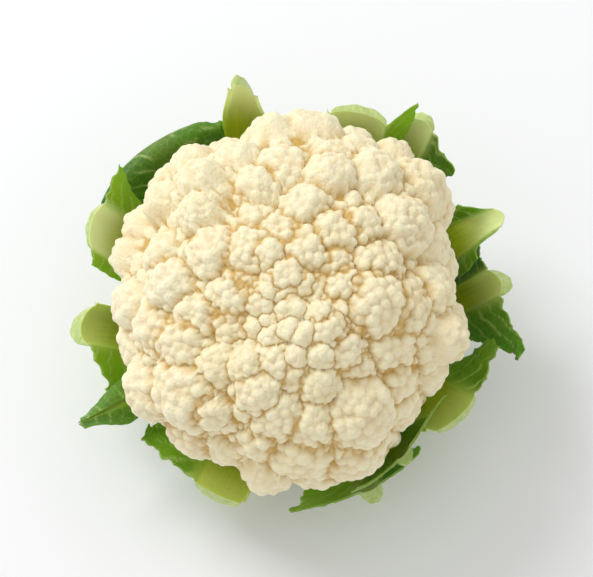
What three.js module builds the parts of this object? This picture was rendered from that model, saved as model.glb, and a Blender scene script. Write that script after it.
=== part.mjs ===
// A whole cauliflower as it is sold: a domed white curd on a short thick stalk, with the bases of
// thirteen leaves still round it, trimmed with a knife. It stands on the flat cut of its stalk.
// Millimetres, +Z up, the origin in the middle of the stalk's cut face, the viewer's side at -Y.
import * as THREE from "three";
import { mergeVertices } from "three/addons/utils/BufferGeometryUtils.js";

// The curd, measured before the plant leans. It is wider than deep, and rounder above than below.
const CURD_CENTRE_HEIGHT = 82;
const CURD_HALF_WIDTH = 84;
const CURD_HALF_LENGTH = 86;
const CURD_RISE = 60;
const CURD_DROP = 47;
const SEAT_HEIGHT = 39.5;

// Where the head grew fuller or was pressed in: azimuth in degrees, and the share of its reach.
const SWELLS = [
  [50, 0.09],
  [85, 0.03],
  [118, 0.035],
  [145, 0.08],
  [228, 0.035],
  [328, -0.135],
  [350, 0.11],
  [8, -0.15],
];
const SWELL_WIDTH = THREE.MathUtils.degToRad(22);

// The stalk, and the thin gap that keeps two touching solids apart.
const STALK_RADIUS = 19.5;
const STALK_TOP_RADIUS = 24;
const STALK_FLARE_HEIGHT = 1.7;
const STALK_SHOULDER = 0.5;
const STALK_BEVEL = 1;
const STALK_RINGS = [10, 20, 30];
const STALK_SIDES = 32;
const JOIN_GAP = 0.3;

// The plant leans towards the viewer: upright at the cut, tilted from LEAN_TOP up.
const LEAN = THREE.MathUtils.degToRad(10);
const LEAN_PIVOT_HEIGHT = 20;
const LEAN_TOP = 45;

// Leaves and florets alike follow each other round the stalk by the golden angle.
const GOLDEN_ANGLE = Math.PI * (3 - Math.sqrt(5));

// Florets: the spiral starts at the growing tip, which points further towards the viewer than the
// dome's middle does. They are small at the tip and grow with the angle from it.
const TIP_TILT = THREE.MathUtils.degToRad(20);
const TIP_AZIMUTH = THREE.MathUtils.degToRad(-102);
const TIP_FLORET_RADIUS = 6.6;
const SKIRT_FLORET_RADIUS = 14.5;
const FULL_SIZE_ANGLE = THREE.MathUtils.degToRad(52);
const LAST_FLORET_ANGLE = THREE.MathUtils.degToRad(132);
const FLORET_CROWDING = 0.78;
const FLORET_OVERLAP = 1.07;
const FLORET_UNEVENNESS = 0.3;
const FLORET_WANDER = 0.7;
const FLORET_SINKING = 0.2;
const DOME_BALL_RADIUS = 76;
const AZIMUTH_DRAW = 300;
const SIZE_DRAW = 500;
const SINKING_DRAW = 900;
const MOUND_COUNT = 21;
const MOUND_ANGLE = THREE.MathUtils.degToRad(29);
const MOUND_RELIEF = 10;
const FIRST_MOUND_AZIMUTH = 1;
const CORE_DEPTH = 10;
const CREASE_WIDTH = 3;
const CREASE_DEPTH = 1.5;
const BRANCH_STEPS = 6;
const BRANCH_FOOT_RADIUS = 7;
const BRANCH_TIP_SHARE = 0.75;
const SKIRT_ANGLE = THREE.MathUtils.degToRad(84);
const CURD_SPLITS = 22;
const CORNER_GATHERING = 0.3;

// Leaves, the outermost first. Each starts on the stalk a little above the one before it, follows
// the bowl under the curd and ends at the knife's cut. Lengths in millimetres, angles in degrees.
// reach: the cut's place on the bowl, round from below. bend: how far the last part turns outwards,
// from the share of its length "from" on. rib: the midrib's thickness at the cut. stem: half its
// width there. taper: the share of that width lost at the very end. left and right: how far the
// blade stands out on either side of it, seen from the stalk. curl: how far the blade's edges roll
// outwards. slant: how much further out the cut is on the left. shift: from its golden-angle place.
// leftCut and rightCut: how much of each blade is torn away at its edge, or how much more is left of
// it. groove: how deep the midrib's upper face is hollowed. rounding: how far its cut runs back at
// the sides. hug: the share of the bend that the blades don't follow. The pointed leaf is whole.
const LEAVES = [
  {
    reach: 84, bend: 24, from: 0.62, rib: 6, stem: 7, taper: 0,
    left: 20, right: 22, curl: 5, slant: -2, shift: 9,
    leftCut: 9, rightCut: 3, groove: 3, rounding: 3, hug: 0.2,
  },
  {
    reach: 88, bend: 240, from: 0.84, rib: 2.5, stem: 5, taper: 0,
    left: 27, right: 25, curl: 1, slant: 0, shift: -9,
    leftCut: -2, rightCut: 9, groove: 0, rounding: 0, hug: 0,
  },
  {
    reach: 69, bend: -5, from: 0.5, rib: 6, stem: 5, taper: 0,
    left: 22, right: 30, curl: 1, slant: 2, shift: 18,
    leftCut: 0, rightCut: -10, groove: 1, rounding: 2, hug: 0,
  },
  {
    reach: 86, bend: 14, from: 0.62, rib: 4, stem: 7, taper: 0,
    left: 2, right: 13, curl: 1, slant: -4, shift: 5,
    leftCut: 0, rightCut: 10, groove: 2, rounding: 4, hug: 1,
  },
  {
    reach: 74, bend: 26, from: 0.62, rib: 7, stem: 9, taper: 0,
    left: 20, right: 0, curl: 3, slant: 4, shift: -8,
    leftCut: 14, rightCut: 0, groove: 5, rounding: 2, hug: 0.3,
  },
  {
    reach: 67, bend: 44, from: 0.62, rib: 6, stem: 12, taper: 0,
    left: 22, right: 2, curl: 1, slant: 4, shift: 2,
    leftCut: -9, rightCut: 0, groove: 3, rounding: 2, hug: 0.8,
  },
  {
    reach: 103, bend: 20, from: 0.62, rib: 5, stem: 9, taper: 0.5,
    left: 0, right: 0, curl: 1, slant: 18, shift: -1,
    leftCut: 0, rightCut: 0, groove: 2, rounding: 4, hug: 0,
  },
  {
    reach: 61, bend: 34, from: 0.6, rib: 6, stem: 11, taper: 0,
    left: 0, right: 28, curl: 3, slant: 2, shift: 3,
    leftCut: 0, rightCut: -4, groove: 1, rounding: 0, hug: 0.4,
  },
  {
    reach: 94, bend: 92, from: 0.62, rib: 7, stem: 8, taper: 0.4,
    left: 7, right: 10, curl: 1, slant: -6, shift: 6,
    leftCut: 12, rightCut: 12, groove: 2, rounding: 4, hug: 0.8,
  },
  {
    reach: 86, bend: 40, from: 0.74, rib: 3, stem: 10, taper: 0,
    left: 5, right: 13, curl: 1, slant: 0, shift: -1,
    leftCut: 2, rightCut: -4, groove: 1, rounding: 3, hug: 0.3,
  },
  {
    reach: 80, bend: -12, from: 0.6, rib: 4, stem: 4, taper: 0,
    left: 25, right: 21, curl: 0, slant: 0, shift: 11,
    leftCut: -4, rightCut: 0, groove: 1, rounding: 0, hug: 0,
  },
  {
    reach: 84, bend: 10, from: 0.62, rib: 4, stem: 12, taper: 0,
    left: 0, right: 9, curl: 3, slant: 0, shift: 0,
    leftCut: 0, rightCut: -24, groove: 3, rounding: 1, hug: 0,
  },
  {
    reach: 92, bend: 90, from: 0.52, rib: 2, stem: 2, taper: 0,
    left: 11, right: 16, curl: 3, slant: 0, shift: -3,
    leftCut: 0, rightCut: 0, groove: 1, rounding: 0, hug: 0,
  },
];
const POINTED_LEAF = 12;
const LOWEST_LEAF_TOP = 9;
const LEAF_CLIMB = 2.2;
const INNERMOST_LEAF_GAP = -1.5;
const LEAF_GAP_STEP = 0.5;
const BUTT_THICKNESS = 7.7;
const BUTT_THINNING = 0.25;
const BUTT_HALF_WIDTH = 12.5;
const BLADE_THICKNESS = 1.3;
const LEAST_WING = 1.6;
const LEAF_STATIONS = 13;
const STATION_GATHERING = 1.5;
const LEAF_CROSSINGS = [-2, -1.5, -1, -0.55, 0, 0.55, 1, 1.5, 2];
const PATH_STEP = 0.02;
const BLADE_START = 0.4;
const STEM_FULL_AT = 0.625;
const TAPER_START = 0.7;
const POINT_START = 0.6;
const POINT_CLOSING = 0.93;
const EDGE_WAVE = 0.1;
const EDGE_WAVES = 17;
const HUG_WIDTH = 1.5;

const CURD_COLOUR = 0xf1e6c4;
const STALK_COLOUR = 0xdde0ae;
const LEAF_COLOURS = [0x4d7d22, 0x5b8a2c, 0x8fa648];

const UP = new THREE.Vector3(0, 0, 1);

/** A number from 0 to 1 that looks random and is the same each time for the same n. */
function scatter(n) {
  const x = Math.sin(n * 127.1 + 311.7) * 43758.5453;
  return x - Math.floor(x);
}

/** 0 below zero, 1 above one, and a smooth step between. */
function smooth(t) {
  const x = THREE.MathUtils.clamp(t, 0, 1);
  return x * x * (3 - 2 * x);
}

/** Bends a point of the upright plant forward, about an axis along X low in the stalk. */
function lean(point) {
  const angle = LEAN * smooth(point.z / LEAN_TOP);
  const rise = point.z - LEAN_PIVOT_HEIGHT;
  const y = point.y * Math.cos(angle) - rise * Math.sin(angle);
  const z = LEAN_PIVOT_HEIGHT + point.y * Math.sin(angle) + rise * Math.cos(angle);
  return new THREE.Vector3(point.x, y, z);
}

/** A closed geometry from points and triangles given as index triples, leaning with the plant. */
function solid(points, triangles) {
  const positions = points.flatMap((point) => lean(point).toArray());
  const geometry = new THREE.BufferGeometry();
  geometry.setAttribute("position", new THREE.Float32BufferAttribute(positions, 3));
  geometry.setIndex(triangles.flat());
  geometry.computeVertexNormals();
  return geometry;
}

/** Unit vector at an angle from an axis and an azimuth round it, in the frame of east and north. */
function directionFrom(frame, angle, azimuth) {
  return frame.axis
    .clone()
    .multiplyScalar(Math.cos(angle))
    .addScaledVector(frame.east, Math.sin(angle) * Math.cos(azimuth))
    .addScaledVector(frame.north, Math.sin(angle) * Math.sin(azimuth));
}

/** Axis, east and north at right angles, for placing a spiral round the axis. */
function frameRound(axis) {
  const helper = Math.abs(axis.x) < 0.8 ? new THREE.Vector3(1, 0, 0) : new THREE.Vector3(0, 1, 0);
  const east = new THREE.Vector3().crossVectors(helper, axis).normalize();
  return { axis, east, north: new THREE.Vector3().crossVectors(axis, east) };
}

/** The head's extra reach at an azimuth, as a share: a bell curve for each swell. */
function swell(azimuth) {
  return SWELLS.reduce((sum, [middle, share]) => {
    const away = azimuth - THREE.MathUtils.degToRad(middle);
    const off = Math.atan2(Math.sin(away), Math.cos(away)) / SWELL_WIDTH;
    return sum + share * Math.exp(-off * off);
  }, 0);
}

/** How far the smooth dome reaches from the curd's centre in a direction: an ellipsoid, times one
 *  plus the swell, which fades towards the poles. */
function domeRadius(direction) {
  const { x, y, z } = direction;
  const depth = z > 0 ? CURD_RISE : CURD_DROP;
  const fullness = 1 + swell(Math.atan2(y, x)) * (x * x + y * y);
  return fullness / Math.hypot(x / CURD_HALF_WIDTH, y / CURD_HALF_LENGTH, z / depth);
}

const growingTip = frameRound(
  new THREE.Vector3(
    Math.sin(TIP_TILT) * Math.cos(TIP_AZIMUTH),
    Math.sin(TIP_TILT) * Math.sin(TIP_AZIMUTH),
    Math.cos(TIP_TILT),
  ),
);

/** The broad swellings of the dome, one for each main branch, spread evenly by the golden angle. */
const mounds = Array.from({ length: MOUND_COUNT }, (_, n) => {
  const share = (n + 0.5) / MOUND_COUNT;
  const angle = Math.acos(1 - share * (1 - Math.cos(LAST_FLORET_ANGLE)));
  return directionFrom(growingTip, angle, n * GOLDEN_ANGLE + FIRST_MOUND_AZIMUTH);
});

/** The dome with its swellings: highest over a mound's middle, lowest between mounds. */
function moundedRadius(direction) {
  const nearest = Math.max(...mounds.map((mound) => mound.dot(direction)));
  const off = Math.acos(THREE.MathUtils.clamp(nearest, -1, 1)) / MOUND_ANGLE;
  return domeRadius(direction) - MOUND_RELIEF * Math.min(off * off, 1);
}

/** A floret's radius at an angle from the growing tip. */
function floretSize(angle) {
  return THREE.MathUtils.lerp(TIP_FLORET_RADIUS, SKIRT_FLORET_RADIUS, smooth(angle / FULL_SIZE_ANGLE));
}

/** Every floret as a ball: each takes the next golden-angle place, and the share of the dome that
 *  its size needs. */
function growFlorets() {
  const florets = [];
  let height = 1;
  for (let n = 0; Math.acos(height) < LAST_FLORET_ANGLE; n++) {
    const size = floretSize(Math.acos(height));
    const share = (FLORET_CROWDING * size ** 2) / (2 * DOME_BALL_RADIUS ** 2);
    const wander = (FLORET_WANDER * size) / DOME_BALL_RADIUS;
    const angle = Math.acos(Math.max(height - share / 2, -1));
    const azimuth = n * GOLDEN_ANGLE + (wander * (scatter(n + AZIMUTH_DRAW) - 0.5)) / Math.sin(angle);
    const direction = directionFrom(growingTip, angle + wander * (scatter(n) - 0.5), azimuth);
    const uneven = 1 + FLORET_UNEVENNESS * (2 * scatter(n + SIZE_DRAW) - 1);
    const radius = size * FLORET_OVERLAP * uneven;
    const top = moundedRadius(direction) - FLORET_SINKING * size * scatter(n + SINKING_DRAW);
    const centre = direction.clone().multiplyScalar(top - radius);
    florets.push({ centre, radius });
    height -= share;
  }
  return florets;
}

/** The branches that carry the skirt's florets: rows of balls from the stalk's top to each one. */
function growBranches(florets) {
  const foot = new THREE.Vector3(0, 0, SEAT_HEIGHT - CURD_CENTRE_HEIGHT);
  const skirt = florets.filter((floret) => floret.centre.angleTo(UP) > SKIRT_ANGLE);
  return skirt.flatMap((floret) =>
    Array.from({ length: BRANCH_STEPS }, (_, step) => {
      const along = step / BRANCH_STEPS;
      const centre = foot.clone().lerp(floret.centre, along);
      const radius = THREE.MathUtils.lerp(BRANCH_FOOT_RADIUS, floret.radius * BRANCH_TIP_SHARE, along);
      return { centre, radius };
    }),
  );
}

const florets = growFlorets();
const balls = [...florets, ...growBranches(florets)];

/** Where a ray from the origin along a unit direction leaves a ball, or -1 if it misses it. */
function exitDistance(direction, ball) {
  const along = direction.dot(ball.centre);
  const inside = ball.radius ** 2 - ball.centre.lengthSq() + along ** 2;
  return inside > 0 ? along + Math.sqrt(inside) : -1;
}

/** How far the curd reaches in a direction: to where the ray leaves its last ball, less a little
 *  where two balls are left at nearly the same distance, which is the crease between them. */
function curdRadius(direction) {
  const core = moundedRadius(direction) - CORE_DEPTH;
  const [last, before] = balls
    .map((ball) => exitDistance(direction, ball))
    .concat(core)
    .sort((a, b) => b - a);
  const crease = 1 - smooth((last - before) / CREASE_WIDTH);
  const reach = last - CREASE_DEPTH * crease;
  const drop = CURD_CENTRE_HEIGHT - SEAT_HEIGHT;
  return direction.z < 0 ? Math.min(reach, drop / -direction.z) : reach;
}

/** A geometry with its shared corners merged, as its points and its triangles. */
function corners(geometry) {
  geometry.deleteAttribute("normal");
  geometry.deleteAttribute("uv");
  const merged = mergeVertices(geometry, 1e-3);
  const position = merged.getAttribute("position");
  const points = Array.from({ length: position.count }, (_, n) =>
    new THREE.Vector3().fromBufferAttribute(position, n),
  );
  const triangles = [];
  for (let n = 0; n < merged.index.count; n += 3) {
    const triangle = Array.from(merged.index.array.slice(n, n + 3));
    if (new Set(triangle).size === 3) triangles.push(triangle);
  }
  return { points, triangles };
}

/** The curd: a ball of small triangles, closer together at the growing tip where the florets are
 *  small, with each corner pushed out to where the florets end. */
function curdGeometry() {
  const { points, triangles } = corners(new THREE.IcosahedronGeometry(1, CURD_SPLITS));
  const centre = new THREE.Vector3(0, 0, CURD_CENTRE_HEIGHT);
  const pushed = points.map((point) => {
    const angle = Math.acos(THREE.MathUtils.clamp(point.normalize().z, -1, 1));
    const azimuth = Math.atan2(point.y, point.x);
    const direction = directionFrom(growingTip, angle - CORNER_GATHERING * Math.sin(angle), azimuth);
    return direction.clone().multiplyScalar(curdRadius(direction)).add(centre);
  });
  return solid(pushed, triangles);
}

/** The stalk: a turned post with a flat cut below, spreading a little where the curd sits on it. */
function stalkGeometry() {
  const top = SEAT_HEIGHT - JOIN_GAP;
  const profile = [
    new THREE.Vector2(0, 0),
    new THREE.Vector2(STALK_RADIUS - STALK_BEVEL, 0),
    new THREE.Vector2(STALK_RADIUS, STALK_BEVEL),
    ...STALK_RINGS.map((height) => new THREE.Vector2(STALK_RADIUS, height)),
    new THREE.Vector2(STALK_RADIUS, top - STALK_FLARE_HEIGHT),
    new THREE.Vector2(STALK_TOP_RADIUS, top - STALK_SHOULDER),
    new THREE.Vector2(STALK_TOP_RADIUS, top),
    new THREE.Vector2(0, top),
  ];
  const turned = new THREE.LatheGeometry(profile, STALK_SIDES).rotateX(Math.PI / 2);
  const { points, triangles } = corners(turned);
  return solid(points, triangles);
}

/** The bowl that leaf k lies along, seen from the side: a quarter ellipse from the stalk up to the
 *  curd's widest height, going on over its shoulder. Returns distance from the axis and height. */
function bowl(k, turn) {
  const inward = LEAVES.length - 1 - k;
  const foot = STALK_RADIUS + 2 * JOIN_GAP;
  const reach = CURD_HALF_LENGTH + INNERMOST_LEAF_GAP + LEAF_GAP_STEP * inward - foot;
  const drop = CURD_CENTRE_HEIGHT - LOWEST_LEAF_TOP - LEAF_CLIMB * k;
  const depth = turn < Math.PI / 2 ? drop : CURD_RISE + INNERMOST_LEAF_GAP + LEAF_GAP_STEP * inward;
  return [foot + reach * Math.sin(turn), CURD_CENTRE_HEIGHT - depth * Math.cos(turn)];
}

/** The side view of leaf k's upper face, at a turn round the bowl: small steps along the bowl, which
 *  turn away from the curd past the leaf's bending place. Returns the distance from the axis, the
 *  height, and the angle of the way out of the upper face. */
function leafPath(k, leaf, turn, bend) {
  const end = THREE.MathUtils.degToRad(leaf.reach);
  const point = new THREE.Vector2(...bowl(k, 0));
  const steps = Math.max(Math.ceil(turn / PATH_STEP), 1);
  let heading = 0;
  for (let n = 0; n < steps; n++) {
    const [from, to] = [(turn * n) / steps, (turn * (n + 1)) / steps];
    const [out, up] = bowl(k, from);
    const [outNext, upNext] = bowl(k, to);
    const bent = Math.max(((from + to) / 2 / end - leaf.from) / (1 - leaf.from), 0);
    const stride = Math.hypot(outNext - out, upNext - up);
    heading = Math.atan2(upNext - up, outNext - out) - THREE.MathUtils.degToRad(bend) * bent;
    point.x += stride * Math.cos(heading);
    point.y += stride * Math.sin(heading);
  }
  return [point.x, point.y, heading - Math.PI / 2];
}

/** A place of leaf k on its upper face: "along" from butt to cut, "aside" in millimetres from the
 *  midrib, "extra" how far past the cut it goes, in degrees, and "hug" the share of the bend that it
 *  doesn't follow. Returns a function that gives the point at a depth below that face. */
function leafPlace(k, leaf, along, aside, extra, hug) {
  const turn = THREE.MathUtils.degToRad(leaf.reach + extra) * along;
  const bent = leafPath(k, leaf, turn, leaf.bend);
  const straight = leafPath(k, leaf, turn, 0);
  const [out, up, facing] = bent.map((value, n) => THREE.MathUtils.lerp(value, straight[n], hug));
  const azimuth = k * GOLDEN_ANGLE + THREE.MathUtils.degToRad(leaf.shift) + aside / out;
  const fullness = 1 + swell(azimuth) * Math.sin(Math.min(turn, Math.PI / 2)) ** 2;
  return (deep) => {
    const radius = out * fullness + Math.cos(facing) * deep;
    const height = up + Math.sin(facing) * deep;
    return new THREE.Vector3(radius * Math.cos(azimuth), radius * Math.sin(azimuth), height);
  };
}

/** A leaf: a thick midrib, hollowed above and rounded below, with a thin torn blade on each side. */
function leafGeometry(leaf, k) {
  const columns = LEAF_CROSSINGS.length;
  const rows = LEAF_STATIONS + 1;
  const [upper, lower] = [[], []];
  for (let i = 0; i < rows; i++) {
    const along = 1 - (1 - i / LEAF_STATIONS) ** STATION_GATHERING;
    const spread = smooth((along - BLADE_START) / (1 - BLADE_START));
    const pointed = k === POINTED_LEAF ? POINT_CLOSING : 0;
    const closing = 1 - pointed * smooth((along - POINT_START) / (1 - POINT_START));
    const taper = 1 - leaf.taper * smooth((along - TAPER_START) / (1 - TAPER_START));
    const half = THREE.MathUtils.lerp(BUTT_HALF_WIDTH, leaf.stem, smooth(along / STEM_FULL_AT));
    const stem = half * closing * taper;
    const butt = BUTT_THICKNESS - BUTT_THINNING * k;
    const rib = THREE.MathUtils.lerp(butt, leaf.rib, along) * Math.sqrt(closing);
    LEAF_CROSSINGS.forEach((crossing) => {
      const [blade, cut] = crossing < 0 ? [leaf.right, leaf.rightCut] : [leaf.left, leaf.leftCut];
      const wave = 1 + EDGE_WAVE * Math.sin(along * EDGE_WAVES + k * 2 + crossing);
      const wing = LEAST_WING + blade * spread * wave * closing;
      const within = Math.min(Math.abs(crossing), 1);
      const beyond = Math.max(Math.abs(crossing) - 1, 0);
      const aside = Math.sign(crossing) * (within * stem + beyond * wing);
      const round = Math.sqrt(Math.max(1 - crossing * crossing, 0));
      const top = (leaf.groove * round + leaf.curl * beyond * beyond) * spread;
      const thickness = BLADE_THICKNESS + (rib - BLADE_THICKNESS) * round;
      const lost = cut * beyond + leaf.rounding * within * within;
      const extra = (leaf.slant * aside) / leaf.stem / 2 - lost * along;
      const place = leafPlace(k, leaf, along, aside, extra, leaf.hug * smooth(beyond * HUG_WIDTH));
      upper.push(place(top));
      lower.push(place(top + thickness));
    });
  }
  const triangles = [];
  const below = upper.length;
  for (let i = 0; i < rows - 1; i++) {
    for (let j = 0; j < columns - 1; j++) {
      const [p, q] = [i * columns + j, (i + 1) * columns + j];
      triangles.push([p, q, q + 1], [p, q + 1, p + 1]);
      triangles.push([below + p, below + q + 1, below + q], [below + p, below + p + 1, below + q + 1]);
    }
  }
  const rim = [];
  for (let j = 0; j < columns; j++) rim.push(j);
  for (let i = 1; i < rows; i++) rim.push(i * columns + columns - 1);
  for (let j = columns - 2; j >= 0; j--) rim.push((rows - 1) * columns + j);
  for (let i = rows - 2; i > 0; i--) rim.push(i * columns);
  rim.forEach((p, n) => {
    const q = rim[(n + 1) % rim.length];
    triangles.push([p, q, below + q], [p, below + q, below + p]);
  });
  return solid([...upper, ...lower], triangles);
}

/** A named mesh with a plain matt material of its own. */
function piece(name, geometry, color, roughness) {
  const material = new THREE.MeshStandardMaterial({ color, roughness, metalness: 0 });
  const mesh = new THREE.Mesh(geometry, material);
  mesh.name = name;
  return mesh;
}

const cauliflower = new THREE.Group();
cauliflower.add(piece("curd", curdGeometry(), CURD_COLOUR, 0.75));
cauliflower.add(piece("stalk", stalkGeometry(), STALK_COLOUR, 0.6));
LEAVES.forEach((leaf, k) => {
  const name = `leaf_${String(k + 1).padStart(2, "0")}`;
  const colour = LEAF_COLOURS[k % LEAF_COLOURS.length];
  cauliflower.add(piece(name, leafGeometry(leaf, k), colour, 0.55));
});

export default cauliflower;
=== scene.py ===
import math

import bpy
import numpy as np
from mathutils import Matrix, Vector


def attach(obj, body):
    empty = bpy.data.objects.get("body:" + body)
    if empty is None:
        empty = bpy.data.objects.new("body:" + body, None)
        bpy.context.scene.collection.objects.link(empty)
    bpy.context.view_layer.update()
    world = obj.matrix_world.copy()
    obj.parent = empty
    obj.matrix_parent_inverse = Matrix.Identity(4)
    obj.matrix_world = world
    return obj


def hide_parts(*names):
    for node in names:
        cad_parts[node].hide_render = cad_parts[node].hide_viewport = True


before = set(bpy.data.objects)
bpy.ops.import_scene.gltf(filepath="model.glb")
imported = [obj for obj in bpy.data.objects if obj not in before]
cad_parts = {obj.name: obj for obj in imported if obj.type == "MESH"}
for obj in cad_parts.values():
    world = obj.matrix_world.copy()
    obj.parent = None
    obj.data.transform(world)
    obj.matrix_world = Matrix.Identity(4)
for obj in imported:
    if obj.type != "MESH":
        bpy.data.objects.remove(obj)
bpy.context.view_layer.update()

# The curd
# One grown head. Its branches end in florets, each floret is made of knobs and each knob of buds,
# the same rounded shape at every size, laid out by the golden angle. It is firm and creamy white,
# and warm yellow in the creases, where the florets shade each other.

# Lengths are in millimetres, and MM turns them to metres.
MM = 0.001
GOLDEN_ANGLE = math.pi * (3 - math.sqrt(5))

CURD_CENTRE_HEIGHT = 82
CURD_HALF_WIDTH = 84
CURD_HALF_LENGTH = 86
CURD_RISE = 60
CURD_DROP = 47
DOME_BALL_RADIUS = 76
SEAT_HEIGHT = 39.5
# Where the head grew fuller or was pressed in: azimuth in degrees, and the share of its reach.
SWELLS = np.array(
    [[50, 0.09], [85, 0.03], [118, 0.035], [145, 0.08], [228, 0.035], [328, -0.135], [350, 0.11], [8, -0.15]]
)
SWELL_WIDTH = math.radians(22)

LEAN = math.radians(10)
LEAN_PIVOT_HEIGHT = 20
LEAN_TOP = 45

# The draws are numbers that the seeded scatter of each floret starts from.
TIP_TILT = math.radians(20)
TIP_AZIMUTH = math.radians(-102)
TIP_FLORET_RADIUS = 6.6
SKIRT_FLORET_RADIUS = 14.5
FULL_SIZE_ANGLE = math.radians(52)
LAST_FLORET_ANGLE = math.radians(132)
FLORET_CROWDING = 0.78
FLORET_OVERLAP = 1.07
FLORET_UNEVENNESS = 0.3
FLORET_WANDER = 0.7
FLORET_SINKING = 0.2
AZIMUTH_DRAW = 300
SIZE_DRAW = 500
SINKING_DRAW = 900
MOUND_COUNT = 21
MOUND_ANGLE = math.radians(29)
MOUND_RELIEF = 10
FIRST_MOUND_AZIMUTH = 1
CORE_DEPTH = 10
GAP_FLORET_RADIUS = 6.5
GAP_FLORET_RISE = 2.5
FIRST_GAP_AZIMUTH = 2
CREASE_WIDTH = 3
CREASE_DEPTH = 0.8
BRANCH_STEPS = 6
BRANCH_FOOT_RADIUS = 7
BRANCH_TIP_SHARE = 0.75
SKIRT_ANGLE = math.radians(84)

# A pair of draw steps is what a draw moves on by from floret to floret, and from knob to knob.
MOST_KNOBS_ON_A_FLORET = 100
KNOB_CROWDING = 2.5
KNOB_SPACING = 2.35
LEAST_KNOB_SHARE = 0.9
MOST_KNOB_SHARE = 1.55
KNOB_SIZE_DRAW = 2
KNOB_SIZE_DRAW_STEPS = (31, 7)
LAST_KNOB_ANGLE = math.radians(112)
KNOB_WANDER = 0.9
KNOB_WANDER_DRAW_STEPS = (13, 3)
KNOB_RIM_RISE = 0.05
KNOB_LIFT = 0.5
KNOB_CREASE_DEPTH = 2.3
KNOB_FILLET = 0.4
MOST_LOBES_ON_A_FLORET = 16
LOBE_SPACING = 5
LOBE_RELIEF = 1.2
LOBE_TURN = 2.1
# How much painted shade the creases between a floret's knobs get, and how wide the painted shade is in the
# creases between florets, in millimetres on the largest florets.
KNOB_SHADE = 0.28
CREASE_SHADE_WIDTH = 2.6

CUBE_CELLS = 127
CORNER_GATHERING = 0.4
RAY_CHUNKS = 64
NEAR_FLORETS = 14
RIVAL_FLORETS = 5
NEAR_GAP_FLORETS = 4
RELAXING_PASSES = 8
RELAXING = 0.75
EVEN_SPAN = 1.3
STEEP_SPAN = 2.0
SPAN_BLUR_PASSES = 3
SPAN_BLUR = 0.6


def scatter(n):
    """Numbers from 0 to 1 that look random: the fraction of a large multiple of a sine of n."""
    step, start, multiple = 127.1, 311.7, 43758.5453
    x = np.sin(np.asarray(n, float) * step + start) * multiple
    return x - np.floor(x)


def smooth(t):
    """0 below zero, 1 above one, and three t squared less two t cubed between."""
    t = np.clip(t, 0, 1)
    return t * t * (3 - 2 * t)


def frame_round(axis):
    """Each unit axis, what is level east of it and the cross product of the two, its north. East is
    square to X, or to Y where the axis lies near X."""
    near_x = np.abs(axis[..., :1]) >= 0.8
    east = np.cross(np.where(near_x, [0, 1.0, 0], [1.0, 0, 0]), axis)
    east /= np.linalg.norm(east, axis=-1, keepdims=True)
    return axis, east, np.cross(axis, east)


def direction_from(frame_axes, angle, azimuth):
    """Unit vectors at an angle from an axis, turned by an azimuth round it from its east."""
    axis, east, north = frame_axes
    angle, azimuth = np.asarray(angle)[..., None], np.asarray(azimuth)[..., None]
    around = east * np.cos(azimuth) + north * np.sin(azimuth)
    return axis * np.cos(angle) + around * np.sin(angle)


def spiral_angle(share, last_angle):
    """How far from the axis a golden-angle spiral has come once it has covered a share of the ball's
    cap: the height falls evenly from one to the cosine of the last angle."""
    return np.arccos(np.maximum(1 - share * (1 - math.cos(last_angle)), -1))


def lean(points):
    """Bends the upright plant forward: each point turns about a line along X, more the higher it is."""
    x, y, z = points.T
    angle = LEAN * smooth(z / LEAN_TOP)
    rise = z - LEAN_PIVOT_HEIGHT
    turned_y = y * np.cos(angle) - rise * np.sin(angle)
    turned_z = LEAN_PIVOT_HEIGHT + y * np.sin(angle) + rise * np.cos(angle)
    return np.column_stack([x, turned_y, turned_z])


def swell(azimuth):
    """The head's extra reach at an azimuth, as a share: a bell curve for each swell."""
    off = np.radians(SWELLS[:, 0]) - np.asarray(azimuth)[..., None]
    off = np.arctan2(np.sin(off), np.cos(off)) / SWELL_WIDTH
    return (SWELLS[:, 1] * np.exp(-(off**2))).sum(-1)


def dome_reach(direction):
    """Distance from the curd's centre to an ellipsoid that is deeper above than below, times one
    plus the swell, which fades towards the poles."""
    depth = np.where(direction[..., 2] > 0, CURD_RISE, CURD_DROP)
    across = direction[..., :2] / [CURD_HALF_WIDTH, CURD_HALF_LENGTH]
    azimuth = np.arctan2(direction[..., 1], direction[..., 0])
    fullness = swell(azimuth) * (direction[..., :2] ** 2).sum(-1)
    return (1 + fullness) / np.sqrt((across**2).sum(-1) + (direction[..., 2] / depth) ** 2)


tip_axis = np.array(
    [
        math.sin(TIP_TILT) * math.cos(TIP_AZIMUTH),
        math.sin(TIP_TILT) * math.sin(TIP_AZIMUTH),
        math.cos(TIP_TILT),
    ]
)
growing_tip = frame_round(tip_axis)
mound_order = np.arange(MOUND_COUNT)
mound_angle = spiral_angle((mound_order + 0.5) / MOUND_COUNT, LAST_FLORET_ANGLE)
mounds = direction_from(growing_tip, mound_angle, mound_order * GOLDEN_ANGLE + FIRST_MOUND_AZIMUTH)


def mounded_reach(direction):
    """The ellipsoid less a paraboloid round the nearest mound, so the dome swells over each branch."""
    off = np.arccos(np.clip((direction @ mounds.T).max(-1), -1, 1)) / MOUND_ANGLE
    return dome_reach(direction) - MOUND_RELIEF * np.minimum(off**2, 1)


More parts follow.
